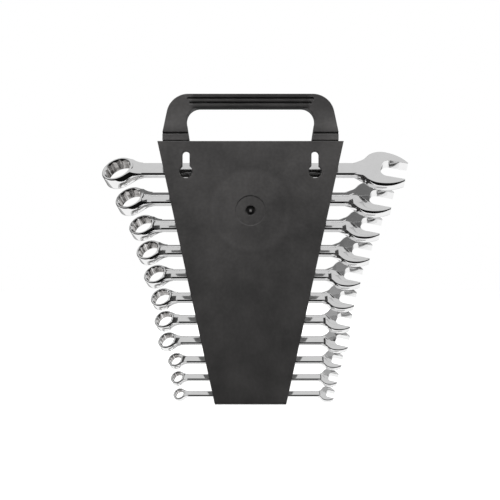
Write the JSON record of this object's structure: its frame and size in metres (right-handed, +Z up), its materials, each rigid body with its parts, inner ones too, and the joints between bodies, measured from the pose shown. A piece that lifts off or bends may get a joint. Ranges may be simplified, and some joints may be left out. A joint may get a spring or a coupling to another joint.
{
  "type": "wrench set with rack",
  "caption": "Tapered moulded rack with a carrying handle and wall keyholes, holding graded combination wrenches in slanted open slots.",
  "frame": {"origin": "on the wall face of the rack's plate, midway between the two keyhole entries", "axes": "+Z up as the rack hangs, -Y out of the wall face towards the wall, +X towards the open jaws of the wrenches"},
  "size_m": [0.2441, 0.0319, 0.2416],
  "materials": {
    "rack_plastic": "satin moulded black plastic",
    "wrench_chrome": "polished chrome plate"
  },
  "bodies": {
    "root": {"rack": "rack_plastic", "wrench_19mm": "wrench_chrome", "wrench_17mm": "wrench_chrome", "wrench_15mm": "wrench_chrome", "wrench_14mm": "wrench_chrome", "wrench_13mm": "wrench_chrome", "wrench_12mm": "wrench_chrome", "wrench_11mm": "wrench_chrome", "wrench_10mm": "wrench_chrome", "wrench_8mm": "wrench_chrome", "wrench_7mm": "wrench_chrome", "wrench_6mm": "wrench_chrome"}
  },
  "joints": []
}
